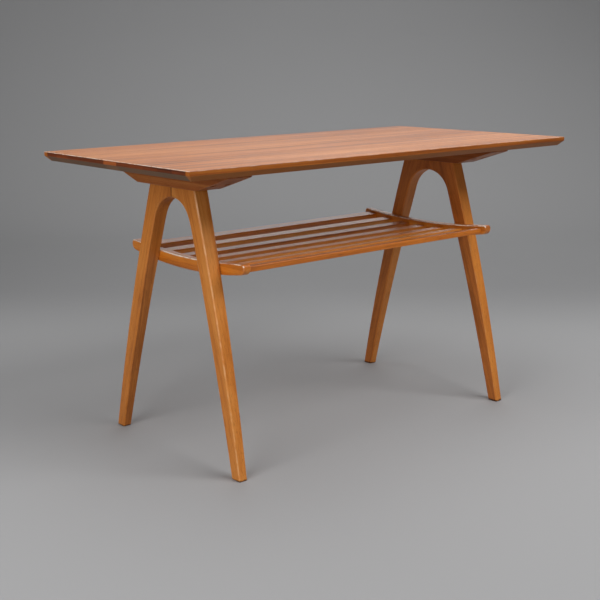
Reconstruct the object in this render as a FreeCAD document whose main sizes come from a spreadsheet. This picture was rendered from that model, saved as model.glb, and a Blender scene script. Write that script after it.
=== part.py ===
import FreeCAD, Part
import math
import os
import Sketcher

# Magazine table: a bevelled top on two arched leg frames, with a dished slatted rack between them.
# Millimetres. X runs along the table, Y across it, Z up. The origin is on the floor under the middle.

SIZES = {
    # Table top
    "top_length": 1000.0,
    "top_width": 487.0,
    "top_height": 582.0,
    "top_thickness": 18.0,
    "edge_height": 8.0,
    "veneer_thickness": 0.8,
    "lipping_width": 12.0,
    # Bearers under the top
    "bearer_length": 374.0,
    "bearer_width": 58.0,
    "bearer_height": 38.0,
    "bearer_flat": 194.0,
    "bearer_tip_height": 9.0,
    "bearer_tip_round": 2.0,
    "bearer_arris": 1.2,
    # Leg frames
    "frame_inset": 147.0,
    "leg_top_thickness": 32.0,
    "leg_foot_thickness": 19.0,
    "leg_foot_width": 24.0,
    "leg_top_width": 72.0,
    "foot_kick": 14.0,
    "foot_spread": 419.0,
    "arch_radius": 60.0,
    "arch_crown": 21.5,
    "leg_inner_radius": 6500.0,
    "leg_outer_radius": 5000.0,
    "leg_arris": 2.2,
    "foot_chamfer": 1.5,
    # Magazine rack
    "rail_length": 366.0,
    "rail_thickness": 18.0,
    "rail_height": 23.5,
    "rail_low_height": 364.5,
    "rail_lower_radius": 1100.0,
    "rail_upper_radius": 1500.0,
    "rail_tip_upper_round": 6.0,
    "rail_tip_lower_round": 12.5,
    "rail_arris": 1.8,
    "slat_pitch": 52.5,
    "slat_width": 26.0,
    "slat_thickness": 11.0,
    "slat_drop": 9.2,
    "slat_upper_round": 2.5,
    "slat_lower_round": 1.2,
    # Tenons and screws
    "tenon_thickness": 8.0,
    "arch_tenon_length": 36.0,
    "arch_tenon_width": 16.0,
    "bearer_tenon_length": 36.0,
    "bearer_tenon_width": 28.0,
    "bearer_tenon_place": 45.0,
    "rail_tenon_length": 21.0,
    "rail_tenon_depth": 8.0,
    "rail_tenon_width": 20.0,
    "slat_tenon_length": 8.0,
    "slat_tenon_width": 18.0,
    "slat_tenon_thickness": 6.0,
    "glue_room": 0.5,
    "glue_gap": 0.1,
    "screw_diameter": 4.5,
    "screw_hole_gap": 0.3,
    "screw_bite": 11.0,
    "screw_head_diameter": 9.0,
    "screw_head_height": 2.5,
    "screw_seat_depth": 14.0,
    "screw_recess_diameter": 12.0,
    "screw_row_spacing": 32.0,
    "screw_span": 264.0,
    # Extra reach of a cutting shape past what it cuts
    "overrun": 5.0,
}

SLAT_COUNT = 7
HALF_TURN = 180
QUARTER_TURN = 90
SAME_PLACE = 1e-4

doc = FreeCAD.newDocument("MagazineTable")
sheet = doc.addObject("Spreadsheet::Sheet", "Sizes")
for row, (alias, number) in enumerate(SIZES.items(), start=1):
    sheet.set(f"A{row}", alias.replace("_", " "))
    sheet.set(f"B{row}", str(number))
    sheet.setAlias(f"B{row}", alias)
doc.recompute()


class Measure:
    """A size with its number and the spreadsheet formula that gives it."""

    def __init__(self, number, formula):
        self.number = number
        self.formula = formula

    def __add__(self, other):
        other = measure(other)
        return Measure(self.number + other.number, f"({self.formula} + {other.formula})")

    def __sub__(self, other):
        other = measure(other)
        return Measure(self.number - other.number, f"({self.formula} - {other.formula})")

    def __mul__(self, other):
        other = measure(other)
        return Measure(self.number * other.number, f"({self.formula} * {other.formula})")

    def __truediv__(self, other):
        other = measure(other)
        return Measure(self.number / other.number, f"({self.formula} / {other.formula})")

    def __neg__(self):
        return Measure(-self.number, f"(-{self.formula})")

    __radd__ = __add__
    __rmul__ = __mul__


def measure(thing):
    """A plain count becomes a measure; a measure stays as it is."""
    if isinstance(thing, Measure):
        return thing
    return Measure(thing, f"({thing})")


def size(alias):
    return Measure(SIZES[alias], f"Sizes.{alias}")


def root(square):
    return Measure(math.sqrt(square.number), f"sqrt({square.formula})")


def arc_sine(ratio):
    """Angle in degrees."""
    return Measure(math.degrees(math.asin(ratio.number)), f"asin({ratio.formula})")


ZERO = measure(0)

# Heights and places that several pieces share
under_top = size("top_height") - size("top_thickness")
leg_height = under_top - size("bearer_height")
bevel = size("top_thickness") - size("edge_height")
core_thickness = size("top_thickness") - 2 * size("veneer_thickness")
core_base = under_top + size("veneer_thickness")
core_length = size("top_length") - 2 * size("lipping_width")
core_width = size("top_width") - 2 * size("lipping_width")
frame_place = size("top_length") / 2 - size("frame_inset")
mortise_thickness = size("tenon_thickness") + 2 * size("glue_gap")

# Leg section: outer and inner faces at the top and at the foot, from the frame's middle plane
outer_top = size("leg_top_thickness") / 2
inner_top = -outer_top
outer_foot = size("foot_kick") + size("leg_foot_thickness") / 2
inner_foot = size("foot_kick") - size("leg_foot_thickness") / 2
outer_slope = (outer_foot - outer_top) / leg_height
inner_slope = (inner_foot - inner_top) / leg_height
foot_outer = size("foot_spread") / 2
foot_inner = foot_outer - size("leg_foot_width")

# Rack: the rail's middle height, its seat on the legs and the slats' reach
rail_middle = size("rail_low_height") + size("rail_height") / 2
rail_seat = frame_place + inner_top + inner_slope * (leg_height - rail_middle)
rail_inside = rail_seat - size("rail_thickness")
slat_top = size("rail_low_height") + size("rail_height") - size("slat_drop")
slat_length = 2 * rail_inside


def dish(offset, radius):
    """Rise of an arc of the given radius at an offset from its lowest point."""
    return radius - root(radius * radius - offset * offset)


def bind(thing, path, value):
    thing.setExpression(path, measure(value).formula)


def place(thing, across=(ZERO, ZERO, ZERO), axis=None, angle=0):
    """Put a piece at a point, turned by an angle about an axis."""
    if axis is not None:
        degrees = measure(angle)
        thing.Placement.Rotation = FreeCAD.Rotation(FreeCAD.Vector(*axis), degrees.number)
        bind(thing, "Placement.Rotation.Angle", degrees)
    for name, value in zip("xyz", across):
        bind(thing, f"Placement.Base.{name}", value)


def new_body(label):
    body = doc.addObject("PartDesign::Body", label)
    body.Label = label
    return body


def new_sketch(body, name, role, offset=ZERO):
    """A sketch on one of the body's own planes, or parallel to it at an offset along its normal."""
    sketch = body.newObject("Sketcher::SketchObject", f"{body.Name}_{name}")
    plane = next(item for item in body.Origin.OriginFeatures if item.Role == role)
    sketch.AttachmentSupport = [(plane, "")]
    sketch.MapMode = "FlatFace"
    bind(sketch, "AttachmentOffset.Base.z", offset)
    return sketch


def fix_point(sketch, geometry, point, across, up):
    """Hold a point of the sketch at two measures from its origin."""
    for kind, axis, value in (("DistanceX", -2, across), ("DistanceY", -1, up)):
        if value.number == 0:
            sketch.addConstraint(Sketcher.Constraint("PointOnObject", geometry, point, axis))
        else:
            index = sketch.addConstraint(Sketcher.Constraint(kind, -1, 1, geometry, point, value.number))
            bind(sketch, f"Constraints[{index}]", value)


def fix_radius(sketch, geometry, radius):
    index = sketch.addConstraint(Sketcher.Constraint("Radius", geometry, radius.number))
    bind(sketch, f"Constraints[{index}]", radius)


def vector(across, up):
    return FreeCAD.Vector(across.number, up.number, 0)


def end_at(sketch, geometry, point):
    """Which end of a line or arc lies at a point: 1 for its start, 2 for its end."""
    first = sketch.getPoint(geometry, 1).distanceToPoint(point)
    last = sketch.getPoint(geometry, 2).distanceToPoint(point)
    return 1 if first < last else 2


def arc_through(start, end, radius):
    """Arc of a signed radius: positive bulges to the right of the way from start to end."""
    chord = end - start
    middle = (start + end) / 2
    right = FreeCAD.Vector(chord.y, -chord.x, 0).normalize()
    reach = abs(radius)
    sagitta = reach - math.sqrt(reach * reach - chord.Length * chord.Length / 4)
    return Part.Arc(start, middle + right * math.copysign(sagitta, radius), end)


def closed_outline(sketch, corners, radii=None):
    """A closed outline through corners; radii gives signed arc radii by the number of the side."""
    radii = radii or {}
    points = [vector(*corner) for corner in corners]
    sides = []
    for number, start in enumerate(points):
        end = points[(number + 1) % len(points)]
        if number in radii:
            radius, bulge = radii[number]
            sides.append(sketch.addGeometry(arc_through(start, end, bulge * radius.number)))
        else:
            sides.append(sketch.addGeometry(Part.LineSegment(start, end)))
    for number, point in enumerate(points):
        before, after = sides[number - 1], sides[number]
        ends = (before, end_at(sketch, before, point), after, end_at(sketch, after, point))
        sketch.addConstraint(Sketcher.Constraint("Coincident", *ends))
        fix_point(sketch, ends[2], ends[3], *corners[number])
    for number, (radius, _) in radii.items():
        fix_radius(sketch, sides[number], radius)
    return sides


def rectangle(sketch, left, low, right, high):
    closed_outline(sketch, [(left, low), (right, low), (right, high), (left, high)])


def rectangle_about(sketch, middle, width, height):
    """A rectangle with its middle at a point."""
    across, up = middle
    rectangle(sketch, across - width / 2, up - height / 2, across + width / 2, up + height / 2)


def circles(sketch, centres, radius):
    normal = FreeCAD.Vector(0, 0, 1)
    for across, up in centres:
        geometry = sketch.addGeometry(Part.Circle(vector(across, up), normal, radius.number))
        fix_point(sketch, geometry, 3, across, up)
        fix_radius(sketch, geometry, radius)


def pad(body, sketch, length, symmetric=False):
    feature = body.newObject("PartDesign::Pad", f"{sketch.Name}_pad")
    feature.Profile = sketch
    feature.SideType = "Symmetric" if symmetric else "One side"
    bind(feature, "Length", length)
    doc.recompute()
    return feature


def pocket(body, sketch, depth=None, along_normal=False):
    """Cut a sketch against its normal, or along it; with no depth the cut goes right through both ways."""
    before = body.Shape.Volume
    feature = body.newObject("PartDesign::Pocket", f"{sketch.Name}_cut")
    feature.Profile = sketch
    if depth is None:
        feature.Type = "ThroughAll"
        feature.SideType = "Symmetric"
    else:
        feature.Reversed = along_normal
        bind(feature, "Length", depth)
    doc.recompute()
    if body.Shape.Volume >= before:
        raise ValueError(f"{feature.Name} cuts nothing")
    return feature


def soften(body, kind, name, amount, wanted):
    """Fillet or chamfer every edge of the body that the test picks."""
    base = body.Tip
    edges = [f"Edge{n}" for n, edge in enumerate(base.Shape.Edges, start=1) if wanted(edge)]
    feature = body.newObject(f"PartDesign::{kind}", f"{body.Name}_{name}")
    feature.Base = (base, edges)
    bind(feature, "Radius" if kind == "Fillet" else "Size", amount)
    doc.recompute()
    return feature


def near(number, value):
    return abs(number - value.number) < SAME_PLACE


def lies_at(low, high, value):
    """Whether a whole stretch lies at one value."""
    return near(low, value) and near(high, value)


# Table top


def make_top():
    pilot = size("screw_diameter") / 2 + size("glue_gap")
    core = new_body("top_core")
    sketch = new_sketch(core, "plan", "XY_Plane")
    rectangle_about(sketch, (ZERO, ZERO), core_length, core_width)
    pad(core, sketch, core_thickness)
    pilots = new_sketch(core, "pilots", "XY_Plane")
    circles(pilots, screw_places(), pilot)
    bite = size("screw_bite") - size("veneer_thickness") + size("glue_room")
    pocket(core, pilots, bite, along_normal=True)
    place(core, (ZERO, ZERO, core_base))

    face = new_body("top_face_veneer")
    sketch = new_sketch(face, "plan", "XY_Plane")
    rectangle_about(sketch, (ZERO, ZERO), size("top_length"), size("top_width"))
    pad(face, sketch, size("veneer_thickness"))
    place(face, (ZERO, ZERO, size("top_height") - size("veneer_thickness")))

    back = new_body("top_back_veneer")
    sketch = new_sketch(back, "plan", "XY_Plane")
    rectangle_about(sketch, (ZERO, ZERO), core_length, core_width)
    circles(sketch, screw_places(), pilot)
    pad(back, sketch, size("veneer_thickness"))
    place(back, (ZERO, ZERO, under_top))


def screw_places():
    """Plan of the screws that hold the bearers to the top."""
    places = []
    for side in (-1, 1):
        for end in (-1, 1):
            for row in (-1, 1):
                across = side * frame_place + row * size("screw_row_spacing") / 2
                places.append((across, end * size("screw_span") / 2))
    return places


def lipping_section():
    """Edge strip seen along its length, from its outer upper corner; heights are over the underside."""
    high = size("top_thickness") - size("veneer_thickness")
    return [
        (ZERO, high),
        (-size("lipping_width"), high),
        (-size("lipping_width"), ZERO),
        (-bevel, ZERO),
        (ZERO, bevel),
    ]


def make_lipping(label, length, reach, turn, mitre_ends):
    """One strip along its own Y; long strips carry the bevel of the table's ends across their own ends."""
    body = new_body(label)
    sketch = new_sketch(body, "section", "XZ_Plane")
    closed_outline(sketch, lipping_section())
    pad(body, sketch, length, symmetric=True)
    if mitre_ends:
        ends = new_sketch(body, "end_bevels", "YZ_Plane")
        for side in (-1, 1):
            closed_outline(ends, [
                (side * length / 2, bevel),
                (side * (length / 2 - bevel - size("overrun")), -size("overrun")),
                (side * length / 2, -size("overrun")),
            ])
        pocket(body, ends)
    if turn in (0, HALF_TURN):
        across = (reach if turn == 0 else -reach, ZERO, under_top)
    else:
        across = (ZERO, reach if turn > 0 else -reach, under_top)
    place(body, across, (0, 0, 1), turn)


def make_lippings():
    long_reach = size("top_width") / 2
    end_reach = size("top_length") / 2
    make_lipping("lipping_front", size("top_length"), long_reach, -QUARTER_TURN, True)
    make_lipping("lipping_back", size("top_length"), long_reach, QUARTER_TURN, True)
    make_lipping("lipping_left", core_width, end_reach, HALF_TURN, False)
    make_lipping("lipping_right", core_width, end_reach, 0, False)


# Bearers


def make_bearer(label, side):
    body = new_body(label)
    sketch = new_sketch(body, "side", "YZ_Plane")
    half, flat = size("bearer_length") / 2, size("bearer_flat") / 2
    closed_outline(sketch, [
        (-half, ZERO),
        (-half, -size("bearer_tip_height")),
        (-flat, -size("bearer_height")),
        (flat, -size("bearer_height")),
        (half, -size("bearer_tip_height")),
        (half, ZERO),
    ])
    pad(body, sketch, size("bearer_width"), symmetric=True)

    def tip_corner(edge):
        box = edge.BoundBox
        at_tip = near(abs(box.YMin), half) and box.YLength < SAME_PLACE
        return at_tip and lies_at(box.ZMin, box.ZMax, -size("bearer_tip_height"))

    soften(body, "Fillet", "tips", size("bearer_tip_round"), tip_corner)

    def lower_arris(edge):
        box = edge.BoundBox
        on_side = near(abs(box.XMin), size("bearer_width") / 2) and box.XLength < SAME_PLACE
        return on_side and box.ZMin < -SAME_PLACE

    soften(body, "Chamfer", "arrises", size("bearer_arris"), lower_arris)

    row, end = size("screw_row_spacing") / 2, size("screw_span") / 2
    rows = [(-row, -end), (-row, end), (row, -end), (row, end)]
    shank = new_sketch(body, "screw_holes", "XY_Plane")
    circles(shank, rows, size("screw_diameter") / 2 + size("screw_hole_gap"))
    pocket(body, shank)
    recess = new_sketch(body, "screw_recesses", "XY_Plane", -size("screw_seat_depth"))
    circles(recess, rows, size("screw_recess_diameter") / 2)
    pocket(body, recess, size("bearer_height"))
    mortises = new_sketch(body, "mortises", "XY_Plane", -size("bearer_height"))
    for hand in (-1, 1):
        bearer_mortise(mortises, hand)
    pocket(body, mortises, size("bearer_tenon_length") / 2 + size("glue_room"), along_normal=True)
    place(body, (side * frame_place, ZERO, under_top))


def bearer_mortise(sketch, hand):
    """Plan of the mortise between a leg's top and its bearer."""
    width = size("bearer_tenon_width") + 2 * size("glue_gap")
    rectangle_about(sketch, (ZERO, hand * size("bearer_tenon_place")), mortise_thickness, width)


# Legs


def arch_tangent():
    """The arch's centre, its end on the leg's inner edge and a point halfway down that edge, as numbers."""
    centre = FreeCAD.Vector(0, (leg_height - size("arch_crown") - size("arch_radius")).number, 0)
    foot = vector(foot_inner, ZERO)
    small, large = SIZES["arch_radius"], SIZES["leg_inner_radius"]
    span = foot.distanceToPoint(centre)
    along = (span * span + (large - small) ** 2 - large ** 2) / (2 * span)
    aside = math.sqrt((large - small) ** 2 - along ** 2)
    towards = (foot - centre) / span
    across = FreeCAD.Vector(towards.y, -towards.x, 0)
    pivot = centre + towards * along + across * aside
    touch = pivot + (centre - pivot).normalize() * large
    halfway = pivot + ((touch + foot) / 2 - pivot).normalize() * large
    return centre, touch, halfway


def leg_outline(sketch, hand):
    """Half a frame: arch crown, inner edge, foot, outer edge and the two straight joint faces."""
    def handed(point):
        return FreeCAD.Vector(hand * point.x, point.y, 0)

    centre, touch, halfway = (handed(point) for point in arch_tangent())
    crown = leg_height - size("arch_crown")
    crown_point = vector(ZERO, crown)
    inner_foot_point = vector(hand * foot_inner, ZERO)
    outer_foot_point = vector(hand * foot_outer, ZERO)
    top_point = vector(hand * size("leg_top_width"), leg_height)
    middle_point = vector(ZERO, leg_height)

    between = (crown_point + touch) / 2
    over_arch = centre + (between - centre).normalize() * SIZES["arch_radius"]
    arch = sketch.addGeometry(Part.Arc(crown_point, over_arch, touch))
    inner = sketch.addGeometry(Part.Arc(touch, halfway, inner_foot_point))
    foot = sketch.addGeometry(Part.LineSegment(inner_foot_point, outer_foot_point))
    outer = sketch.addGeometry(arc_through(outer_foot_point, top_point, hand * SIZES["leg_outer_radius"]))
    top = sketch.addGeometry(Part.LineSegment(top_point, middle_point))
    joint = sketch.addGeometry(Part.LineSegment(middle_point, crown_point))

    corners = [
        (joint, arch, crown_point, (ZERO, crown)),
        (inner, foot, inner_foot_point, (hand * foot_inner, ZERO)),
        (foot, outer, outer_foot_point, (hand * foot_outer, ZERO)),
        (outer, top, top_point, (hand * size("leg_top_width"), leg_height)),
        (top, joint, middle_point, (ZERO, leg_height)),
    ]
    for before, after, point, held in corners:
        ends = (before, end_at(sketch, before, point), after, end_at(sketch, after, point))
        sketch.addConstraint(Sketcher.Constraint("Coincident", *ends))
        fix_point(sketch, ends[2], ends[3], *held)
    ends = (arch, end_at(sketch, arch, touch), inner, end_at(sketch, inner, touch))
    sketch.addConstraint(Sketcher.Constraint("Tangent", *ends))
    sketch.addConstraint(Sketcher.Constraint("PointOnObject", arch, 3, -2))
    fix_radius(sketch, arch, size("arch_radius"))
    fix_radius(sketch, inner, size("leg_inner_radius"))
    fix_radius(sketch, outer, size("leg_outer_radius"))


def make_leg(label, hand, turn):
    """One leg, its frame's middle plane at X 0: hand 1 lies on the +Y side, hand -1 on the -Y side."""
    body = new_body(label)
    sketch = new_sketch(body, "outline", "YZ_Plane")
    leg_outline(sketch, hand)
    slab = 2 * (size("foot_kick") + size("leg_foot_thickness") + size("leg_top_thickness"))
    pad(body, sketch, slab, symmetric=True)

    taper = new_sketch(body, "taper", "XZ_Plane")
    low, high = -size("overrun"), leg_height + size("overrun")
    for top, foot, slope, far in (
        (outer_top, outer_foot, outer_slope, slab),
        (inner_top, inner_foot, inner_slope, -slab),
    ):
        closed_outline(taper, [
            (foot + slope * size("overrun"), low),
            (far, low),
            (far, high),
            (top - slope * size("overrun"), high),
        ])
    pocket(body, taper)

    def long_arris(edge):
        box = edge.BoundBox
        across = lies_at(box.ZMin, box.ZMax, ZERO) or lies_at(box.ZMin, box.ZMax, leg_height)
        return not (across or lies_at(box.YMin, box.YMax, ZERO)) and box.ZLength > SIZES["leg_arris"]

    soften(body, "Chamfer", "arrises", size("leg_arris"), long_arris)

    def foot_edge(edge):
        box = edge.BoundBox
        return lies_at(box.ZMin, box.ZMax, ZERO)

    soften(body, "Chamfer", "foot", size("foot_chamfer"), foot_edge)

    joint = new_sketch(body, "arch_mortise", "XZ_Plane")
    width = size("arch_tenon_width") + 2 * size("glue_gap")
    rectangle_about(joint, (ZERO, arch_tenon_height()), width, mortise_thickness)
    pocket(body, joint, size("arch_tenon_length") / 2 + size("glue_room"), along_normal=hand < 0)
    top = new_sketch(body, "top_mortise", "XY_Plane", leg_height)
    bearer_mortise(top, hand)
    pocket(body, top, size("bearer_tenon_length") / 2 + size("glue_room"))
    rail = new_sketch(body, "rail_mortise", "YZ_Plane", rail_seat - frame_place - size("overrun"))
    rail_mortise(rail, hand)
    reach = size("rail_tenon_length") - size("rail_tenon_depth") + size("glue_room")
    pocket(body, rail, reach + size("overrun"), along_normal=True)
    side = 1 if turn == 0 else -1
    place(body, (side * frame_place, ZERO, ZERO), (0, 0, 1), turn)


def arch_tenon_height():
    """Middle of the joint between the two legs of a frame, over the arch."""
    return leg_height - size("arch_crown") / 2


def leg_middle(up):
    """Middle of a leg's width at a height, on the straight line between foot and top."""
    foot = foot_outer - size("leg_foot_width") / 2
    top = size("leg_top_width") - size("leg_foot_width") / 2
    return foot + (top - foot) * up / leg_height


def rail_tenon_place():
    """Middle of the tenon between a rail and one leg, on the +Y side."""
    middle = leg_middle(rail_middle)
    rise = (dish(middle, size("rail_lower_radius")) + dish(middle, size("rail_upper_radius"))) / 2
    return middle, rail_middle + rise


def rail_mortise(sketch, hand):
    """Mortise between a rail and one leg, seen along the table."""
    middle, up = rail_tenon_place()
    width = size("rail_tenon_width") + 2 * size("glue_gap")
    rectangle_about(sketch, (hand * middle, up), width, mortise_thickness)


# Rack


def slat_offsets():
    """Offsets of the slats from the middle of the rack."""
    middle = (SLAT_COUNT - 1) / 2
    return [(number - middle) * size("slat_pitch") for number in range(SLAT_COUNT)]


def slat_height(offset):
    return slat_top + dish(offset, size("rail_lower_radius"))


def slat_tilt(offset):
    return arc_sine(offset / size("rail_lower_radius"))


def slat_mortise(sketch, offset):
    """Mortise for one slat's tenon, leaning with the slat, half its thickness under its upper face."""
    sine = offset / size("rail_lower_radius")
    cosine = root(measure(1) - sine * sine)
    half_width = size("slat_tenon_width") / 2 + size("glue_gap")
    half_thickness = size("slat_tenon_thickness") / 2 + size("glue_gap")
    down = size("slat_thickness") / 2
    corners = []
    for wide, high in ((-1, -1), (1, -1), (1, 1), (-1, 1)):
        across = wide * half_width
        up = high * half_thickness - down
        along_y = offset + across * cosine - up * sine
        corners.append((along_y, slat_height(offset) + across * sine + up * cosine))
    closed_outline(sketch, corners)


def make_rail(label, turn):
    """A dished rail, its slat side at X 0 and its leg side planed to the slope of the legs."""
    body = new_body(label)
    half = size("rail_length") / 2
    upper, lower = size("rail_upper_radius"), size("rail_lower_radius")
    low, high = size("rail_low_height"), size("rail_low_height") + size("rail_height")
    sketch = new_sketch(body, "outline", "YZ_Plane")
    closed_outline(sketch, [
        (-half, low + dish(half, lower)),
        (half, low + dish(half, lower)),
        (half, high + dish(half, upper)),
        (-half, high + dish(half, upper)),
    ], {0: (lower, 1), 2: (upper, -1)})
    deep = size("rail_thickness") + size("overrun")
    pad(body, sketch, deep)

    slope = new_sketch(body, "leg_side", "XZ_Plane")
    top = high + dish(half, upper) + size("overrun")
    base = low - size("overrun")
    closed_outline(slope, [
        (size("rail_thickness") + inner_slope * (rail_middle - base), base),
        (deep + size("overrun"), base),
        (deep + size("overrun"), top),
        (size("rail_thickness") - inner_slope * (top - rail_middle), top),
    ])
    pocket(body, slope)

    def tip_corner(height):
        def wanted(edge):
            box = edge.BoundBox
            at_tip = near(abs(box.YMin), half) and box.YLength < SAME_PLACE
            return at_tip and lies_at(box.ZMin, box.ZMax, height)
        return wanted

    upper_tip = tip_corner(high + dish(half, upper))
    lower_tip = tip_corner(low + dish(half, lower))
    soften(body, "Fillet", "upper_tips", size("rail_tip_upper_round"), upper_tip)
    soften(body, "Fillet", "lower_tips", size("rail_tip_lower_round"), lower_tip)

    def arris(edge):
        first, last = edge.Vertexes[0].Point, edge.Vertexes[-1].Point
        return abs(first.x - last.x) < SIZES["rail_arris"]

    soften(body, "Chamfer", "arrises", size("rail_arris"), arris)

    slats = new_sketch(body, "slat_mortises", "YZ_Plane")
    for offset in slat_offsets():
        slat_mortise(slats, offset)
    pocket(body, slats, size("slat_tenon_length") + size("glue_room"), along_normal=True)
    legs = new_sketch(body, "leg_mortises", "YZ_Plane", size("rail_thickness") + size("overrun"))
    for hand in (-1, 1):
        rail_mortise(legs, hand)
    pocket(body, legs, size("rail_tenon_depth") + size("glue_room") + size("overrun"))
    side = 1 if turn == 0 else -1
    place(body, (side * rail_inside, ZERO, ZERO), (0, 0, 1), turn)


def make_slat(label, offset):
    """A slat along X, hung by the middle of its upper face and leaning with the dish of the rails."""
    body = new_body(label)
    half, down = size("slat_width") / 2, size("slat_thickness")
    sketch = new_sketch(body, "section", "YZ_Plane")
    rectangle(sketch, -half, -down, half, ZERO)
    pad(body, sketch, slat_length, symmetric=True)

    def long_edge(height):
        def wanted(edge):
            box = edge.BoundBox
            return box.XLength > slat_length.number / 2 and lies_at(box.ZMin, box.ZMax, height)
        return wanted

    soften(body, "Fillet", "upper_edges", size("slat_upper_round"), long_edge(ZERO))
    soften(body, "Fillet", "lower_edges", size("slat_lower_round"), long_edge(-down))
    tenon = new_sketch(body, "tenons", "YZ_Plane")
    rectangle_about(tenon, (ZERO, -down / 2), size("slat_tenon_width"), size("slat_tenon_thickness"))
    pad(body, tenon, slat_length + 2 * size("slat_tenon_length"), symmetric=True)
    place(body, (ZERO, offset, slat_height(offset)), (1, 0, 0), slat_tilt(offset))


# Loose tenons and screws


def make_tenon(label, middle, lengths):
    """A loose tenon with its middle at a point."""
    tenon = doc.addObject("Part::Box", label)
    for name, length in zip(("Length", "Width", "Height"), lengths):
        bind(tenon, name, length)
    place(tenon, [value - length / 2 for value, length in zip(middle, lengths)])
    return tenon


def make_group(label, members):
    group = doc.addObject("Part::Compound", label)
    group.Label = label
    group.Links = members
    return group


def make_tenons():
    arch, bearer, rail = [], [], []
    thickness = size("tenon_thickness")
    for side in (-1, 1):
        middle = (side * frame_place, ZERO, arch_tenon_height())
        lengths = (size("arch_tenon_width"), size("arch_tenon_length"), thickness)
        arch.append(make_tenon(f"arch_tenon_{len(arch)}", middle, lengths))
        for hand in (-1, 1):
            middle = (side * frame_place, hand * size("bearer_tenon_place"), leg_height)
            lengths = (thickness, size("bearer_tenon_width"), size("bearer_tenon_length"))
            bearer.append(make_tenon(f"bearer_tenon_{len(bearer)}", middle, lengths))
            across, up = rail_tenon_place()
            along = rail_seat - size("rail_tenon_depth") + size("rail_tenon_length") / 2
            lengths = (size("rail_tenon_length"), size("rail_tenon_width"), thickness)
            rail.append(make_tenon(f"rail_tenon_{len(rail)}", (side * along, hand * across, up), lengths))
    make_group("arch_tenons", arch)
    make_group("bearer_tenons", bearer)
    make_group("rail_tenons", rail)


def make_screws():
    """Screws with cone heads, heads down in the bearers' recesses."""
    screws = []
    seat = under_top - size("screw_seat_depth")
    for number, (across, along) in enumerate(screw_places()):
        shank = doc.addObject("Part::Cylinder", f"screw_shank_{number}")
        bind(shank, "Radius", size("screw_diameter") / 2)
        bind(shank, "Height", size("screw_seat_depth") + size("screw_bite"))
        place(shank, (across, along, seat))
        head = doc.addObject("Part::Cone", f"screw_head_{number}")
        bind(head, "Radius1", size("screw_head_diameter") / 2 - size("screw_head_height") / 2)
        bind(head, "Radius2", size("screw_head_diameter") / 2)
        bind(head, "Height", size("screw_head_height"))
        place(head, (across, along, seat - size("screw_head_height")))
        whole = doc.addObject("Part::Fuse", f"screw_{number}")
        whole.Base = shank
        whole.Tool = head
        screws.append(whole)
    make_group("top_screws", screws)


def make_table():
    make_top()
    make_lippings()
    make_bearer("bearer_left", -1)
    make_bearer("bearer_right", 1)
    make_leg("leg_right_back", 1, 0)
    make_leg("leg_right_front", -1, 0)
    make_leg("leg_left_front", 1, HALF_TURN)
    make_leg("leg_left_back", -1, HALF_TURN)
    make_rail("rail_right", 0)
    make_rail("rail_left", HALF_TURN)
    for number, offset in enumerate(slat_offsets(), start=1):
        make_slat(f"slat_{number}", offset)
    make_tenons()
    make_screws()
    doc.recompute()


def pieces():
    """The finished pieces: bodies and groups, without the shapes that they are made from."""
    return [item for item in doc.Objects if item.TypeId in ("PartDesign::Body", "Part::Compound")]


def check_and_write():
    for item in doc.Objects:
        if "Invalid" in item.State or "Error" in item.State:
            raise RuntimeError(f"{item.Name} failed: {item.State}")
    for piece in pieces():
        if piece.Shape.isNull() or not piece.Shape.isValid():
            raise RuntimeError(f"{piece.Label} has no valid shape")
    os.makedirs("parts", exist_ok=True)
    for piece in pieces():
        piece.Shape.exportStep(f"parts/{piece.Label}.step")
        print(piece.Label, len(piece.Shape.Solids), round(piece.Shape.Volume))


make_table()
check_and_write()
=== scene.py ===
import math

import bmesh
import bpy
from mathutils import Matrix, Vector


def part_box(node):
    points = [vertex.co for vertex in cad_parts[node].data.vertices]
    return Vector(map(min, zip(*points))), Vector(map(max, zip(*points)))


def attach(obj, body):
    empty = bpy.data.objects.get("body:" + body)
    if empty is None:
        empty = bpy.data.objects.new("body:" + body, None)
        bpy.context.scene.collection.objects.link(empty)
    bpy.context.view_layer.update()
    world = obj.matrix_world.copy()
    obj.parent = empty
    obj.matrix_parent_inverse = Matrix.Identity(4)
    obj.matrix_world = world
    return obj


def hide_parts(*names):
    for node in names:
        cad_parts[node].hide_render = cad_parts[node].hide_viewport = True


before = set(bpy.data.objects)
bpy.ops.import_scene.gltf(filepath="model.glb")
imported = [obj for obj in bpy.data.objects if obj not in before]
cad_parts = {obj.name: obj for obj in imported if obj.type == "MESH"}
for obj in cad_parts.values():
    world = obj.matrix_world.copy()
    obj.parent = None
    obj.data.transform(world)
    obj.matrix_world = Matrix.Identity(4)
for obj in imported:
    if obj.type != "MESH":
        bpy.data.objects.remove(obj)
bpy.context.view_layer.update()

bl_info = {
    "name": "Magazine Table",
    "version": (1, 0, 0),
    "blender": (4, 5, 0),
    "location": "3D View > Sidebar > Magazine Table",
    "description": "Dresses a wooden table with a slatted magazine rack",
    "category": "Object",
}

BODY = "root"
SLATS = sorted(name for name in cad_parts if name.startswith("slat_"))
LEGS = sorted(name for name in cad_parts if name.startswith("leg_"))
RAILS = ["rail_left", "rail_right"]
BEARERS = ["bearer_left", "bearer_right"]
LONG_LIPPINGS = ["lipping_front", "lipping_back"]
END_LIPPINGS = ["lipping_left", "lipping_right"]
HIDDEN_TENONS = ["arch_tenons", "bearer_tenons", "rail_tenons"]


def tone(red, green, blue):
    """A colour written in display values from 0 to 255, as linear light."""
    def linear(value):
        share = value / 255
        return share / 12.92 if share <= 0.04045 else ((share + 0.055) / 1.055) ** 2.4
    return (linear(red), linear(green), linear(blue))


# Settings


def colour(name, description, red, green, blue):
    """A colour that a user may change, written in display values."""
    return bpy.props.FloatVectorProperty(
        name=name, description=description, subtype="COLOR", default=tone(red, green, blue))


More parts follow.
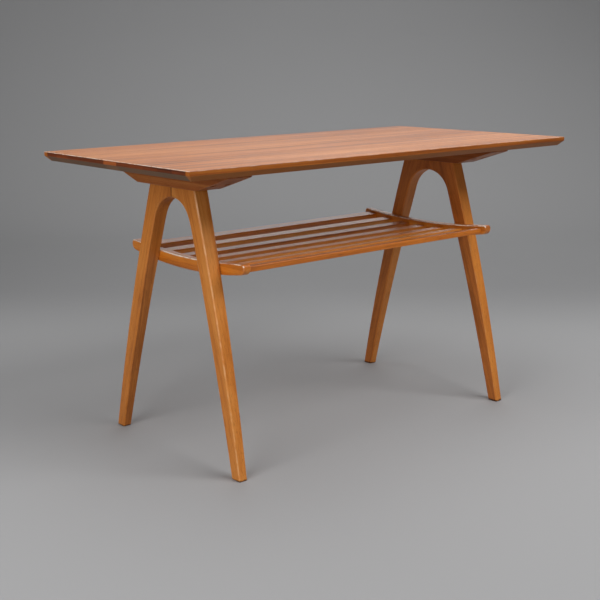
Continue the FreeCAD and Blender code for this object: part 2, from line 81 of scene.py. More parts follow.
def length(name, description, metres):
    """A length that a user may change."""
    return bpy.props.FloatProperty(name=name, description=description, unit="LENGTH", default=metres)


class TableColours(bpy.types.PropertyGroup):
    """Shades of the table's woods and of the studio paper."""

    veneer_dark: colour("Veneer dark", "Darkest grain of the top", 124, 70, 40)
    veneer_middle: colour("Veneer", "Main shade of the top", 182, 112, 63)
    veneer_light: colour("Veneer light", "Lightest grain of the top", 208, 142, 92)
    # Pale arris of the top: wear, and partly a painted highlight
    veneer_wear_and_highlight: colour("Veneer worn", "Rubbed arris of the top", 240, 226, 210)
    lipping_dark: colour("Lipping dark", "Darkest grain of the edges", 94, 43, 9)
    lipping_middle: colour("Lipping", "Main shade of the edges", 152, 80, 21)
    lipping_light: colour("Lipping light", "Lightest grain of the edges", 186, 112, 38)
    lipping_bevel: colour("Lipping bevel", "Underside of the long edges", 148, 86, 23)
    end_dark: colour("End dark", "Darkest grain of the end edges", 62, 26, 10)
    end_middle: colour("End", "Main shade of the end edges", 124, 58, 22)
    end_light: colour("End light", "Pale staves of the end edges", 174, 94, 42)
    end_bevel: colour("End bevel", "Underside of the end edges", 96, 75, 52)
    leg_dark: colour("Leg dark", "Darkest grain of the left legs", 142, 74, 22)
    leg_middle: colour("Leg", "Main shade of the left legs", 200, 121, 48)
    leg_light: colour("Leg light", "Lightest grain of the left legs", 222, 150, 74)
    # The right legs' shades are darker than the left legs' as painted shade, for the shade they stand in under
    # the table
    far_leg_dark: colour("Far leg dark", "Darkest grain of the right legs", 122, 62, 22)
    far_leg_middle: colour("Far leg", "Main shade of the right legs", 189, 109, 44)
    far_leg_light: colour("Far leg light", "Lightest grain of the right legs", 214, 134, 54)
    # Pale arrises of the legs: wear, and partly a painted highlight
    leg_wear_and_highlight: colour("Leg worn", "Rubbed arrises of the legs", 224, 176, 126)
    bearer_dark: colour("Bearer dark", "Darkest grain of the bearers", 104, 52, 16)
    bearer_middle: colour("Bearer", "Main shade of the bearers", 152, 84, 34)
    bearer_light: colour("Bearer light", "Lightest grain of the bearers", 184, 116, 58)
    rack_dark: colour("Rack dark", "Darkest grain of the rack", 130, 62, 6)
    rack_middle: colour("Rack", "Main shade of the rack", 196, 109, 20)
    rack_light: colour("Rack light", "Lightest grain of the rack", 216, 140, 50)
    # Pale arrises of the rails: wear, and mostly a painted highlight on their upper left arrises
    rack_wear_and_highlight: colour("Rack worn", "Rubbed arrises of the rails", 252, 240, 224)
    core_dark: colour("Core dark", "Darkest grain of the core board", 150, 116, 80)
    core_middle: colour("Core", "Main shade of the core board", 184, 150, 110)
    core_light: colour("Core light", "Lightest grain of the core board", 206, 178, 140)
    tenon_dark: colour("Tenon dark", "Darkest grain of the tenons", 176, 140, 100)
    tenon_middle: colour("Tenon", "Main shade of the tenons", 206, 172, 130)
    tenon_light: colour("Tenon light", "Lightest grain of the tenons", 224, 196, 158)
    screw_dull: colour("Screw dull", "Tarnish on the screws", 70, 62, 50)
    screw_bright: colour("Screw bright", "Bare steel of the screws", 150, 142, 126)
    floor: colour("Floor", "Floor paper", 160, 160, 161)
    # The fold is darker than floor and backdrop as painted shade, where the light falls off behind the table
    fold: colour("Fold", "Paper where the floor ends", 142, 142, 143)
    backdrop: colour("Backdrop", "Paper behind the table", 160, 160, 161)


class TableSizes(bpy.types.PropertyGroup):
    """Sizes of the rounded arrises."""

    leg_round: length("Leg arris", "Rounding of the legs' arrises", 0.0008)
    rail_round: length("Rail arris", "Rounding of the rails' arrises", 0.0007)
    top_round: length("Top arris", "Rounding of the top's upper arris", 0.0006)
    lipping_round: length("Lipping arris", "Rounding of the edges' lower arris", 0.0008)


def sizes():
    return bpy.context.scene.magazine_table_sizes


def chosen(name):
    """One colour of the settings."""
    return tuple(getattr(bpy.context.scene.magazine_table_colours, name))


def shades(part):
    """The dark, middle and light shade of one part."""
    return [chosen(f"{part}_{depth}") for depth in ("dark", "middle", "light")]


# Shader maths


class Value:
    """A shader socket on which sums can be written as Python expressions."""

    def __init__(self, finish, socket):
        self.finish = finish
        self.socket = socket

    def maths(self, operation, first, second):
        return self.finish.add("ShaderNodeMath", {"operation": operation}, {0: first, 1: second})

    def __add__(self, other):
        return self.maths("ADD", self, other)

    def __sub__(self, other):
        return self.maths("SUBTRACT", self, other)

    def __rsub__(self, other):
        return self.maths("SUBTRACT", other, self)

    def __mul__(self, other):
        return self.maths("MULTIPLY", self, other)

    def __truediv__(self, other):
        return self.maths("DIVIDE", self, other)

    def __rtruediv__(self, other):
        return self.maths("DIVIDE", other, self)

    def __floordiv__(self, other):
        return self.maths("FLOOR", self / other, 0)

    def __abs__(self):
        return self.maths("ABSOLUTE", self, 0)

    __radd__ = __add__
    __rmul__ = __mul__


class Finish:
    """A material's node tree, ending in one surface shader."""

    def __init__(self, name):
        self.material = bpy.data.materials.new(name)
        self.material.use_nodes = True
        self.tree = self.material.node_tree
        self.tree.nodes.clear()
        self.shader = self.tree.nodes.new("ShaderNodeBsdfPrincipled")
        output = self.tree.nodes.new("ShaderNodeOutputMaterial")
        self.tree.links.new(self.shader.outputs["BSDF"], output.inputs["Surface"])

    def add(self, kind, settings=None, sockets=None, output=0):
        """A node with its settings, then its sockets' values or links; gives one of its outputs."""
        node = self.tree.nodes.new(kind)
        for name, value in (settings or {}).items():
            if name == "stops":
                ramp = node.color_ramp.elements
                while len(ramp) < len(value):
                    ramp.new(1)
                for stop, (position, shade) in zip(ramp, value):
                    stop.position = position
                    stop.color = (*shade, 1)
            else:
                setattr(node, name, value)
        for name, value in (sockets or {}).items():
            self.feed(node.inputs[name], value)
        return Value(self, node.outputs[output])

    def feed(self, socket, value):
        """Link a value to a socket, or set the socket to a number, vector or colour."""
        if isinstance(value, Value):
            self.tree.links.new(value.socket, socket)
        elif socket.type == "RGBA" and len(value) == 3:
            socket.default_value = (*value, 1)
        else:
            socket.default_value = value

    def surface(self, **sockets):
        for name, value in sockets.items():
            self.feed(self.shader.inputs[name.replace("_", " ")], value)

    def place(self):
        """Where a point lies in its board: along the grain, across it and through it, in metres."""
        return self.add("ShaderNodeAttribute", {"attribute_name": "grain"}, output="Vector")

    def spot(self):
        """Where a point lies in the table's frame, in metres."""
        return self.add("ShaderNodeTexCoord", output="Object")

    def part(self, name):
        """A number that the mesh holds for each of its faces."""
        return self.add("ShaderNodeAttribute", {"attribute_name": name}, output="Fac")

    def scaled(self, vector, factors):
        return self.add("ShaderNodeVectorMath", {"operation": "MULTIPLY"}, {0: vector, 1: factors})

    def distance(self, vector, direction):
        """How far a point lies along a direction."""
        sockets = {0: vector, 1: direction}
        return self.add("ShaderNodeVectorMath", {"operation": "DOT_PRODUCT"}, sockets, output="Value")

    def axis(self, vector, name):
        return self.add("ShaderNodeSeparateXYZ", None, {0: vector}, output=name)

    def noise(self, vector, detail=2, roughness=0.5, distortion=0):
        sockets = {"Vector": vector, "Scale": 1, "Detail": detail}
        sockets.update({"Roughness": roughness, "Distortion": distortion})
        return self.add("ShaderNodeTexNoise", None, sockets)

    def step(self, value, low, high):
        """A smooth rise from 0 to 1 between two values, or a fall where low is above high."""
        ends = {"From Min": min(low, high), "From Max": max(low, high)}
        ends.update({"To Min": 0 if low < high else 1, "To Max": 1 if low < high else 0})
        return self.add("ShaderNodeMapRange", {"interpolation_type": "SMOOTHSTEP"}, {"Value": value, **ends})

    def ramp(self, value, stops):
        return self.add("ShaderNodeValToRGB", {"stops": stops}, {"Fac": value})

    def blend(self, factor, first, second):
        # The node's colours go in at 6 and 7 and come out at 2
        settings = {"data_type": "RGBA", "blend_type": "MIX", "clamp_factor": True}
        return self.add("ShaderNodeMix", settings, {0: factor, 6: first, 7: second}, output=2)

    def bump(self, height, strength, distance):
        return self.add("ShaderNodeBump", None, {"Strength": strength, "Distance": distance, "Height": height})


# Woods

# How often each part of the figure repeats in a metre: along the grain, across it and through it
FINE_LINES = (3.0, 420.0, 420.0)
STREAKS = (1.4, 95.0, 95.0)
BANDS = (0.9, 21.0, 21.0)
CLOUDS = (2.2, 7.0, 7.0)
FLECKS = (11.0, 46.0, 46.0)
PORES = (38.0, 1500.0, 1500.0)
# Patches along the pale arrises, which are wear and partly a painted highlight
WEAR_AND_HIGHLIGHT_PATCHES = (55.0, 130.0, 130.0)

# How far each part of the figure moves the shade from its middle
MIDDLE = 0.5
STREAK_DEPTH = 0.95
BAND_DEPTH = 0.75
FINE_DEPTH = 0.4
CLOUD_DEPTH = 0.3
BOARD_DEPTH = 0.5
STAVE_DEPTH = 0.3
PALE_STAVES = (0.74, 0.8)
PALE_STAVE_DEPTH = 0.2
DARK_STOP = 0.14
LIGHT_STOP = 0.86

# Where marks on the wood begin and are full, how strong they are, and their shade as a share of the dark one
PORE_EDGE, PORE_STRENGTH, PORE_SHADE = (0.6, 0.7), 0.42, 0.35
GLUE_EDGE, GLUE_STRENGTH, GLUE_AND_PAINTED_SHADE = (0.0017, 0.0009), 0.95, 0.2
# The heads of the legs darken in the glue line's colour as painted shade, where the top shades them
PAINTED_SHADE_HEIGHT, PAINTED_SHADE_STRENGTH = (0.33, 0.5), 0.14
# The feet darken over their last few millimetres above the floor
FOOT_DARKENING_HEIGHT, FOOT_DARKENING_STRENGTH, FOOT_DARKENING_SHADE = (0.005, 0.0015), 0.85, 0.12
FOOT_DARKENING_UNEVEN = 0.012
# The pale arrises are wear and partly a painted highlight
WEAR_AND_HIGHLIGHT_EDGE, WEAR_AND_HIGHLIGHT_LEAD = (0.5, 0.76), 0.2
BEVEL_STRENGTH = 0.8

# How far each part of the figure changes the roughness
STREAK_ROUGHNESS = 0.16
FLECK_ROUGHNESS = 0.4
PORE_ROUGHNESS = 0.12
BURNISH = 0.15

# Height of the figure's parts, and how strongly the surface shows it
FINE_HEIGHT = 0.35
STREAK_HEIGHT = 0.4
PORE_DEPTH = 0.5
RELIEF_STRENGTH = 0.12
RELIEF_DISTANCE = 0.0004
SPECULAR = 0.3
LACQUER_ROUGHNESS = 0.42

# Screw steel: spots in a metre, where it is dull and where bright, its roughness and how uneven that is
STEEL_SPOTS = (700, 700, 700)
STEEL_DULL, STEEL_BRIGHT = 0.35, 0.65
STEEL_ROUGHNESS, STEEL_UNEVEN = 0.35, 0.3
STEEL_METALLIC = 0.9


def darker(shade, share):
    return tuple(share * part for part in shade)


def oiled_wood(name, three_shades, figure=1.0, mottle=0.2, gloss=0.42, wear_and_highlight_colour=None, wear_and_highlight_share=0.0, staves=0.0,
               bevel=None, glue_and_painted_shade=False, feet=False, lacquer=0.0):
    """Straight-grained wood in three shades, dark to light, with pores, soft bands and pale arrises, worn and
    partly a painted highlight.

    The staves are as long as the number given. The glue option adds the glue line between the legs of a frame
    and painted shade at their heads, where the top shades them, and feet darkens the last few millimetres above
    the floor.
    """
    dark, middle, light = three_shades
    finish = Finish(name)
    place = finish.place()
    fine = finish.noise(finish.scaled(place, FINE_LINES), detail=4, roughness=0.62)
    streak = finish.noise(finish.scaled(place, STREAKS), detail=5, roughness=0.6, distortion=0.4)
    band = finish.noise(finish.scaled(place, BANDS), detail=2, distortion=0.8)
    cloud = finish.noise(finish.scaled(place, CLOUDS), detail=2)
    fleck = finish.noise(finish.scaled(place, FLECKS), detail=4, roughness=0.68)
    figured = MIDDLE + (streak - MIDDLE) * (STREAK_DEPTH * figure) + (band - MIDDLE) * (BAND_DEPTH * figure)
    figured = figured + (fine - MIDDLE) * FINE_DEPTH + (cloud - MIDDLE) * CLOUD_DEPTH
    figured = figured + (fleck - MIDDLE) * mottle + (finish.part("shade") - MIDDLE) * BOARD_DEPTH
    if staves:
        count = finish.axis(place, "X") // staves
        stave = finish.add("ShaderNodeTexWhiteNoise", {"noise_dimensions": "1D"}, {"W": count})
        figured = figured + (stave - MIDDLE) * STAVE_DEPTH + finish.step(stave, *PALE_STAVES) * PALE_STAVE_DEPTH
    surface = finish.ramp(figured, [(DARK_STOP, dark), (MIDDLE, middle), (LIGHT_STOP, light)])
    pored = finish.step(finish.noise(finish.scaled(place, PORES), detail=1), *PORE_EDGE)
    surface = finish.blend(pored * PORE_STRENGTH, surface, darker(dark, PORE_SHADE))
    if bevel:
        surface = finish.blend(finish.part("bevel") * BEVEL_STRENGTH, surface, bevel)
    if glue_and_painted_shade:
        spot = finish.spot()
        # Painted shade: darker towards the heads of the legs, where the top shades them
        painted_shade_and_tarnish = finish.step(finish.axis(spot, "Z"), *PAINTED_SHADE_HEIGHT)
        surface = finish.blend(painted_shade_and_tarnish * PAINTED_SHADE_STRENGTH, surface, darker(dark, GLUE_AND_PAINTED_SHADE))
        glue = finish.step(abs(finish.axis(spot, "Y")), *GLUE_EDGE)
        surface = finish.blend(glue * GLUE_STRENGTH, surface, darker(dark, GLUE_AND_PAINTED_SHADE))
    if wear_and_highlight_colour:
        # Pale arrises: wear, and partly a painted highlight
        patch = finish.noise(finish.scaled(place, WEAR_AND_HIGHLIGHT_PATCHES), detail=3, roughness=0.6)
        wear_and_highlight_mask = finish.step(patch + finish.part("arris") * WEAR_AND_HIGHLIGHT_LEAD, *WEAR_AND_HIGHLIGHT_EDGE)
        surface = finish.blend(wear_and_highlight_mask * finish.part("arris") * wear_and_highlight_share, surface, wear_and_highlight_colour)
    if feet:
        # Darker towards the bottom of the feet
        level = finish.axis(finish.spot(), "Z") + (fleck - MIDDLE) * FOOT_DARKENING_UNEVEN
        foot_darkening = finish.step(level, *FOOT_DARKENING_HEIGHT)
        surface = finish.blend(foot_darkening * FOOT_DARKENING_STRENGTH, surface, darker(dark, FOOT_DARKENING_SHADE))
    roughness = gloss + (streak - MIDDLE) * STREAK_ROUGHNESS + (fleck - MIDDLE) * (FLECK_ROUGHNESS * mottle)
    # Pores are dull, and handling has burnished the arrises
    roughness = roughness + pored * PORE_ROUGHNESS - finish.part("arris") * BURNISH
    height = fine * FINE_HEIGHT + streak * STREAK_HEIGHT - pored * PORE_DEPTH
    relief = finish.bump(height, RELIEF_STRENGTH, RELIEF_DISTANCE)
    finish.surface(Base_Color=surface, Roughness=roughness, Normal=relief, Specular_IOR_Level=SPECULAR)
    finish.surface(Coat_Weight=lacquer, Coat_Roughness=LACQUER_ROUGHNESS)
    return finish


def tarnished_steel(name):
    """Dull steel with brighter spots."""
    finish = Finish(name)
    # Dull and bright spots of tarnish on the steel
    painted_shade_and_tarnish = finish.noise(finish.scaled(finish.spot(), STEEL_SPOTS), detail=3)
    metal = finish.ramp(painted_shade_and_tarnish, [(STEEL_DULL, chosen("screw_dull")), (STEEL_BRIGHT, chosen("screw_bright"))])
    roughness = STEEL_ROUGHNESS + painted_shade_and_tarnish * STEEL_UNEVEN
    finish.surface(Base_Color=metal, Roughness=roughness, Metallic=STEEL_METALLIC)
    return finish


# Mesh work

# Corners closer than this, in metres, are one corner
WELD = 1e-6
# Sides that meet at a smaller angle than this, in degrees, are one side
FLAT = 0.15

# Angles, in degrees, between the sides that meet at a square arris, at a bevel and at a chamfer
SQUARE = (60, 120)
BEVELLED = (30, 60)
CHAMFERED = (25, 65)

# Angles, in degrees, up to which sides shade as one
SMOOTH = 32
SLAT_SMOOTH = 40

# Directions along, across and through a board
ALONG_X = ((1, 0, 0), (0, 1, 0), (0, 0, 1))
ALONG_Y = ((0, 1, 0), (1, 0, 0), (0, 0, 1))

# Places in the log that boards are cut from: how many there are and the step between them, each way
LOG_PLACES = ((19, 0.31), (23, 0.17), (29, 0.11))


class Piece:
    """A dressed copy of a solid: its sides joined up, its arrises rounded and its grain laid out."""

    def __init__(self, node):
        self.node = node
        self.work = bmesh.new()
        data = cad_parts[node].data
        corners = [self.work.verts.new(vertex.co) for vertex in data.vertices]
        for side in data.polygons:
            self.work.faces.new([corners[index] for index in side.vertices])
        bmesh.ops.remove_doubles(self.work, verts=self.work.verts, dist=WELD)
        bmesh.ops.dissolve_degenerate(self.work, dist=WELD, edges=self.work.edges)
        bmesh.ops.dissolve_limit(
            self.work, angle_limit=math.radians(FLAT), verts=self.work.verts, edges=self.work.edges
        )
        self.work.normal_update()
        self.arris = self.work.faces.layers.float.new("arris")
        self.bevel = self.work.faces.layers.float.new("bevel")

    def ridges(self, low, high, wanted=None):
        """Edges whose two sides meet at an angle between two limits, in degrees."""
        found = []
        for edge in self.work.edges:
            if len(edge.link_faces) == 2 and low < math.degrees(edge.calc_face_angle(0)) < high:
                if wanted is None or wanted(edge):
                    found.append(edge)
        return found

    def round_over(self, edges, width):
        bmesh.ops.bevel(
            self.work, geom=edges, offset=width, offset_type="OFFSET", segments=2,
            profile=0.5, affect="EDGES", clamp_overlap=True, harden_normals=False,
        )

    def mark(self, layer, amount, wanted):
        """Give a number to the faces that a test picks."""
        self.work.normal_update()
        for face in self.work.faces:
            if wanted(face):
                face[layer] = amount

    def make(self, axes, shade, finish, smooth=SMOOTH, painted_light=0.0):
        """Make the finished object: axes are the along, across and through directions of its board.

        The painted light is how much lighter its front and back are painted than its other sides, standing in
        for light from the front.
        """
        mesh = bpy.data.meshes.new(self.node + "_dressed")
        self.work.to_mesh(mesh)
        self.work.free()
        for polygon in mesh.polygons:
            polygon.use_smooth = True
        mesh.set_sharp_from_angle(angle=math.radians(smooth))
        turn = Matrix(axes)
        # Each board is cut from its own place in the log, so no two show the same figure
        seed = sum(ord(letter) * (index + 3) for index, letter in enumerate(self.node))
        start = Vector([seed % count * step for count, step in LOG_PLACES])
        grain = mesh.attributes.new("grain", "FLOAT_VECTOR", "POINT")
        for index, vertex in enumerate(mesh.vertices):
            grain.data[index].vector = turn @ vertex.co + start
        tint = mesh.attributes.new("shade", "FLOAT", "FACE")
        for index, polygon in enumerate(mesh.polygons):
            # Front and back faces are painted lighter: painted light from the front
            tint.data[index].value = shade + painted_light * abs(polygon.normal.y)
        piece = bpy.data.objects.new(self.node + "_dressed", mesh)
        bpy.context.scene.collection.objects.link(piece)
        mesh.materials.append(finish.material)
        # Broad faces keep their own shading, and only the rounded arrises turn
        even = piece.modifiers.new("even_shading", "WEIGHTED_NORMAL")
        even.keep_sharp = True
        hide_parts(self.node)
        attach(piece, BODY)


# How far the normal of a face leans over on an arris, on the top's rim and on the bevel under it
ARRIS_LEAN = (0.25, 0.97)
RIM_LEAN = (0.2, 0.98)
BEVEL_LEAN = (-0.9, -0.4)
# The least part of a normal in the direction that a face looks
FACING = 0.2


def within(value, limits):
    low, high = limits
    return low < value < high


def on_arris(face):
    """Whether a face slopes between the side of a leg or rail and its edge."""
    return within(abs(face.normal.x), ARRIS_LEAN)


def on_left_arris(face):
    """Whether such a face looks up and to the left."""
    return on_arris(face) and face.normal.z > FACING and face.normal.x < 0


def on_rim(face):
    """Whether a face rounds the upper arris of the top."""
    return within(face.normal.z, RIM_LEAN)


def on_left_end(face):
    """Whether a face looks to the left end of the table."""
    return face.normal.x < -FACING


def under_bevel(face):
    """Whether a face slopes under the rim of the top."""
    return within(face.normal.z, BEVEL_LEAN)


# Operators

# How worn the arrises are, from 0 to 1; the pale arrises are wear and partly a painted highlight, mostly a
# painted highlight on the rails' upper left arrises
RIM_WEAR = 0.45
RAIL_WEAR = 0.25
FULL_WEAR_AND_HIGHLIGHT = 1
LEG_WEAR_AND_HIGHLIGHT = dict(zip(LEGS, (0.1, 0.55, 0.05, 0.25)))

# How light each board is, from 0 to 1
PLAIN = 0.5
BACK_SHADE = 0.4
END_SHADE = 0.35
BEARER_SHADES = dict(zip(BEARERS, (0.55, 0.45)))
LEG_SHADES = dict(zip(LEGS, (0.34, 0.56, 0.42, 0.46)))
# How much lighter the right legs' front and back faces are painted, as painted light from the front
FAR_LEG_PAINTED_LIGHT = 0.6
# Slats take turns at these
SLAT_TURNS = (0.4, 0.7, 0.6, 0.5)

# Length of a stave in the end edges, and the reach of a leg's head from the middle of the frame, in metres
STAVE = 0.043
LEG_HEAD = 0.045


class MAGTABLE_OT_top(bpy.types.Operator):
    """Dress the veneered top and its edge lippings"""

    bl_idname = "magtable.top"
    bl_label = "Top"

    def execute(self, context):
        self.boards()
        self.edges()
        return {"FINISHED"}

    def boards(self):
        veneer = oiled_wood("top_veneer", shades("veneer"), figure=1.3, mottle=0.55, gloss=0.5,
                            wear_and_highlight_colour=chosen("veneer_wear_and_highlight"), wear_and_highlight_share=0.9)
        face = Piece("top_face_veneer")
        upper = max(vertex.co.z for vertex in face.work.verts)
        rim = face.ridges(*SQUARE, lambda edge: all(vertex.co.z > upper - WELD for vertex in edge.verts))
        face.round_over(rim, sizes().top_round)
        face.mark(face.arris, RIM_WEAR, on_rim)
        # The left end is painted pale as wear and partly a painted highlight
        face.mark(face.arris, FULL_WEAR_AND_HIGHLIGHT, on_left_end)
        face.make(ALONG_X, PLAIN, veneer)
        under = oiled_wood("back_veneer", shades("lipping"), figure=0.7, gloss=0.6)
        Piece("top_back_veneer").make(ALONG_X, BACK_SHADE, under)
        board = oiled_wood("core_board", shades("core"), gloss=0.7)
        Piece("top_core").make(ALONG_X, PLAIN, board)

    def edges(self):
        long_edge = oiled_wood("long_edge", shades("lipping"), figure=1.3, gloss=0.45,
                               bevel=chosen("lipping_bevel"))
        end_edge = oiled_wood("end_edge", shades("end"), gloss=0.5, bevel=chosen("end_bevel"), staves=STAVE)
        kinds = ((LONG_LIPPINGS, ALONG_X, long_edge, PLAIN), (END_LIPPINGS, ALONG_Y, end_edge, END_SHADE))
        for names, axes, finish, shade in kinds:
            for name in names:
                edge = Piece(name)
                edge.round_over(edge.ridges(*BEVELLED), sizes().lipping_round)
                edge.mark(edge.bevel, 1, under_bevel)
                edge.make(axes, shade, finish)


class MAGTABLE_OT_bearers(bpy.types.Operator):
    """Dress the bearers under the top"""

    bl_idname = "magtable.bearers"
    bl_label = "Bearers"

    def execute(self, context):
        finish = oiled_wood("bearer_wood", shades("bearer"))
        for name in BEARERS:
            Piece(name).make(ALONG_Y, BEARER_SHADES[name], finish)
        return {"FINISHED"}


class MAGTABLE_OT_legs(bpy.types.Operator):
    """Dress the four splayed legs"""

    bl_idname = "magtable.legs"
    bl_label = "Legs"

    def execute(self, context):
        alike = {"gloss": 0.38, "wear_and_highlight_colour": chosen("leg_wear_and_highlight"), "wear_and_highlight_share": 0.85, "feet": True}
        # The left legs' finish adds the glue line and painted shade at their heads
        near = oiled_wood("leg_wood", shades("leg"), figure=0.75, mottle=0.45, glue_and_painted_shade=True, **alike)
        # The right legs' darker finish is painted shade
        far = oiled_wood("far_leg_wood", shades("far_leg"), figure=0.5, mottle=0.4, **alike)
        for name in LEGS:
            leg = Piece(name)
            leg.round_over(leg.ridges(*CHAMFERED), sizes().leg_round)
            # Pale arrises of the legs: wear, and partly a painted highlight
            leg.mark(leg.arris, LEG_WEAR_AND_HIGHLIGHT[name], on_arris)
            # The grain runs from the foot to the head
            low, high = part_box(name)
            hand = 1 if high.y > -low.y else -1
            reach = max(high.y, -low.y)
            along = Vector((0, -hand * (reach - LEG_HEAD), high.z)).normalized()
            across = Vector((0, along.z, -along.y))
            # The right legs take the darker finish, painted shade, and their front and back faces are painted
            # lighter, painted light
            finish, painted_light = (near, 0.0) if "left" in name else (far, FAR_LEG_PAINTED_LIGHT)
            leg.make((along, across, (1, 0, 0)), LEG_SHADES[name], finish, painted_light=painted_light)
        return {"FINISHED"}


class MAGTABLE_OT_rack(bpy.types.Operator):
    """Dress the rails and slats of the magazine rack"""

    bl_idname = "magtable.rack"
    bl_label = "Rack"

    def execute(self, context):
        finish = oiled_wood("rack_wood", shades("rack"), gloss=0.45, wear_and_highlight_colour=chosen("rack_wear_and_highlight"), wear_and_highlight_share=1.0,
                            lacquer=0.6)
        for name in RAILS:
            rail = Piece(name)
            rail.round_over(rail.ridges(*CHAMFERED), sizes().rail_round)
            rail.mark(rail.arris, RAIL_WEAR, on_arris)
            # The rails' upper left arrises are painted pale and glossy, mostly a painted highlight, partly wear
            rail.mark(rail.arris, FULL_WEAR_AND_HIGHLIGHT, on_left_arris)
            rail.make(ALONG_Y, PLAIN, finish)
        for index, name in enumerate(SLATS):
            shade = SLAT_TURNS[index % len(SLAT_TURNS)]
            Piece(name).make(ALONG_X, shade, finish, smooth=SLAT_SMOOTH)
        return {"FINISHED"}


class MAGTABLE_OT_fixings(bpy.types.Operator):
    """Dress the screws and the hidden tenons"""

    bl_idname = "magtable.fixings"
    bl_label = "Fixings"

    def execute(self, context):
        beech = oiled_wood("tenon_wood", shades("tenon"), gloss=0.7)
        for name in HIDDEN_TENONS:
            Piece(name).make(ALONG_Y, PLAIN, beech)
        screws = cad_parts["top_screws"]
        screws.data.materials.clear()
        screws.data.materials.append(tarnished_steel("screw_steel").material)
        return {"FINISHED"}


# Stage

# Paper sweep, in metres: its ends before and behind the table, its bend, height and half width
SWEEP_FRONT = -2.4
SWEEP_BACK = 2.2
SWEEP_BEND = 1.0
SWEEP_HEIGHT = 3.6
SWEEP_SIDE = 6.0
SWEEP_STEPS = 12
# Where the paper turns from floor to fold and from fold to backdrop, in metres behind the table; the darker
# fold is painted shade for the light falling off behind the table
FOLD_STARTS = (0.6, 1.3)
FOLD_ENDS = (1.3, 3.2)
# Soft patches of the paper in a metre, its roughness and how uneven that is
PAPER_PATCHES = (3, 3, 3)
PAPER_ROUGHNESS, PAPER_UNEVEN = 0.7, 0.1

# Lamps: name, place, aim, width and height in metres, power in watts
LAMPS = (
    ("overhead", (-0.3, 0.1, 2.7), (-0.1, 0.0, 0.4), 1.8, 1.8, 21.0),
    ("front", (0.7, -1.9, 2.4), (0.1, 0.0, 0.35), 2.0, 1.3, 52.0),
    ("left", (-2.5, -0.8, 1.25), (0.0, 0.0, 0.4), 1.5, 2.0, 40.0),
    ("behind", (2.2, 2.0, 1.9), (0.0, 0.0, 0.5), 4.0, 0.9, 30.0),
)
WORLD_STRENGTH = 0.11

# Camera, measured on the photograph's frame of 600 by 600; angles in degrees, its place in metres
FRAME_PIXELS = 600
SENSOR = 36.0
FOCAL_PIXELS = 1079.7
CENTRE_OFFSET = (-65.9, 16.5)
CAMERA_AZIMUTH = -37.96
CAMERA_ELEVATION = 13.92
CAMERA_ROLL = 0.56
CAMERA_PLACE = Vector((-1.5202, -1.6636, 0.7736))
CAMERA_REACH = 50


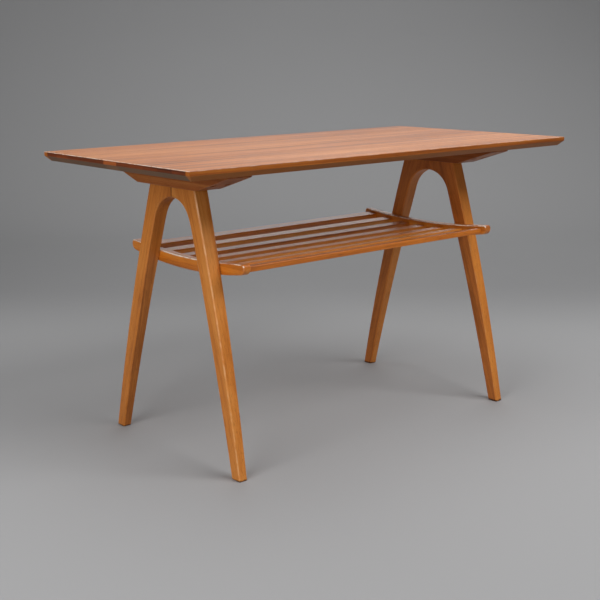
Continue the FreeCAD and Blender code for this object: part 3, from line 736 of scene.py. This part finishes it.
class MAGTABLE_OT_stage(bpy.types.Operator):
    """Set the floor, backdrop, lamps and camera"""

    bl_idname = "magtable.stage"
    bl_label = "Stage"

    def execute(self, context):
        self.sweep()
        self.lamps()
        self.camera()
        context.scene.view_settings.view_transform = "Standard"
        return {"FINISHED"}

    def sweep(self):
        """A plain floor that curves up into a backdrop behind the table, square to the camera."""
        profile = [(SWEEP_FRONT, 0.0), (SWEEP_BACK, 0.0)]
        for step in range(1, SWEEP_STEPS + 1):
            angle = math.radians(90) * step / SWEEP_STEPS
            profile.append((SWEEP_BACK + SWEEP_BEND * math.sin(angle), SWEEP_BEND * (1 - math.cos(angle))))
        profile.append((SWEEP_BACK + SWEEP_BEND, SWEEP_HEIGHT))
        view = math.radians(CAMERA_AZIMUTH)
        ahead = Vector((-math.sin(view), math.cos(view), 0))
        aside = Vector((math.cos(view), math.sin(view), 0))
        points, faces = [], []
        for far, up in profile:
            for side in (-SWEEP_SIDE, SWEEP_SIDE):
                points.append(ahead * far + aside * side + Vector((0, 0, up)))
        for row in range(len(profile) - 1):
            faces.append((2 * row, 2 * row + 1, 2 * row + 3, 2 * row + 2))
        mesh = bpy.data.meshes.new("floor")
        mesh.from_pydata(points, [], faces)
        for polygon in mesh.polygons:
            polygon.use_smooth = True
        mesh.materials.append(self.paper(ahead).material)
        floor = bpy.data.objects.new("floor", mesh)
        bpy.context.scene.collection.objects.link(floor)

    def paper(self, ahead):
        finish = Finish("floor_paper")
        spot = finish.spot()
        away = finish.distance(spot, tuple(ahead))
        # The darker fold is painted shade, where the light falls off behind the table
        paper = finish.blend(finish.step(away, *FOLD_STARTS), chosen("floor"), chosen("fold"))
        paper = finish.blend(finish.step(away, *FOLD_ENDS), paper, chosen("backdrop"))
        mottle = finish.noise(finish.scaled(spot, PAPER_PATCHES), detail=3)
        finish.surface(Base_Color=paper, Roughness=PAPER_ROUGHNESS + mottle * PAPER_UNEVEN)
        return finish

    def lamps(self):
        world = bpy.data.worlds.new("studio")
        bpy.context.scene.world = world
        world.use_nodes = True
        background = world.node_tree.nodes["Background"]
        background.inputs["Color"].default_value = (1, 1, 1, 1)
        background.inputs["Strength"].default_value = WORLD_STRENGTH
        for name, place, aim, width, height, power in LAMPS:
            lamp = bpy.data.lights.new(name, "AREA")
            lamp.shape = "RECTANGLE"
            lamp.size = width
            lamp.size_y = height
            lamp.energy = power
            holder = bpy.data.objects.new(name, lamp)
            holder.location = place
            holder.rotation_euler = (Vector(aim) - Vector(place)).to_track_quat("-Z", "Y").to_euler()
            bpy.context.scene.collection.objects.link(holder)

    def camera(self):
        lens = bpy.data.cameras.new("camera")
        lens.sensor_width = SENSOR
        lens.lens = FOCAL_PIXELS * SENSOR / FRAME_PIXELS
        lens.shift_x = -CENTRE_OFFSET[0] / FRAME_PIXELS
        lens.shift_y = CENTRE_OFFSET[1] / FRAME_PIXELS
        lens.clip_end = CAMERA_REACH
        holder = bpy.data.objects.new("camera", lens)
        view, rise, roll = (math.radians(angle) for angle in (CAMERA_AZIMUTH, CAMERA_ELEVATION, CAMERA_ROLL))
        turn = Matrix.Rotation(view, 4, "Z") @ Matrix.Rotation(math.radians(90) - rise, 4, "X")
        turn = turn @ Matrix.Rotation(-roll, 4, "Z")
        holder.matrix_world = Matrix.Translation(CAMERA_PLACE) @ turn
        bpy.context.scene.collection.objects.link(holder)
        bpy.context.scene.camera = holder


class MAGTABLE_PT_panel(bpy.types.Panel):
    """Buttons for each step, and the settings"""

    bl_idname = "MAGTABLE_PT_panel"
    bl_label = "Magazine Table"
    bl_space_type = "VIEW_3D"
    bl_region_type = "UI"
    bl_category = "Magazine Table"

    def draw(self, context):
        for step in STEPS:
            self.layout.operator(step.bl_idname)
        for group in (context.scene.magazine_table_sizes, context.scene.magazine_table_colours):
            for name in group.__annotations__:
                self.layout.prop(group, name)


STEPS = (
    MAGTABLE_OT_top, MAGTABLE_OT_bearers, MAGTABLE_OT_legs,
    MAGTABLE_OT_rack, MAGTABLE_OT_fixings, MAGTABLE_OT_stage,
)
CLASSES = (TableColours, TableSizes, *STEPS, MAGTABLE_PT_panel)


def register():
    for kind in CLASSES:
        bpy.utils.register_class(kind)
    bpy.types.Scene.magazine_table_colours = bpy.props.PointerProperty(type=TableColours)
    bpy.types.Scene.magazine_table_sizes = bpy.props.PointerProperty(type=TableSizes)


def unregister():
    del bpy.types.Scene.magazine_table_sizes
    del bpy.types.Scene.magazine_table_colours
    for kind in reversed(CLASSES):
        bpy.utils.unregister_class(kind)


def main():
    register()
    bpy.ops.magtable.top()
    bpy.ops.magtable.bearers()
    bpy.ops.magtable.legs()
    bpy.ops.magtable.rack()
    bpy.ops.magtable.fixings()
    bpy.ops.magtable.stage()


if __name__ == "__main__":
    main()
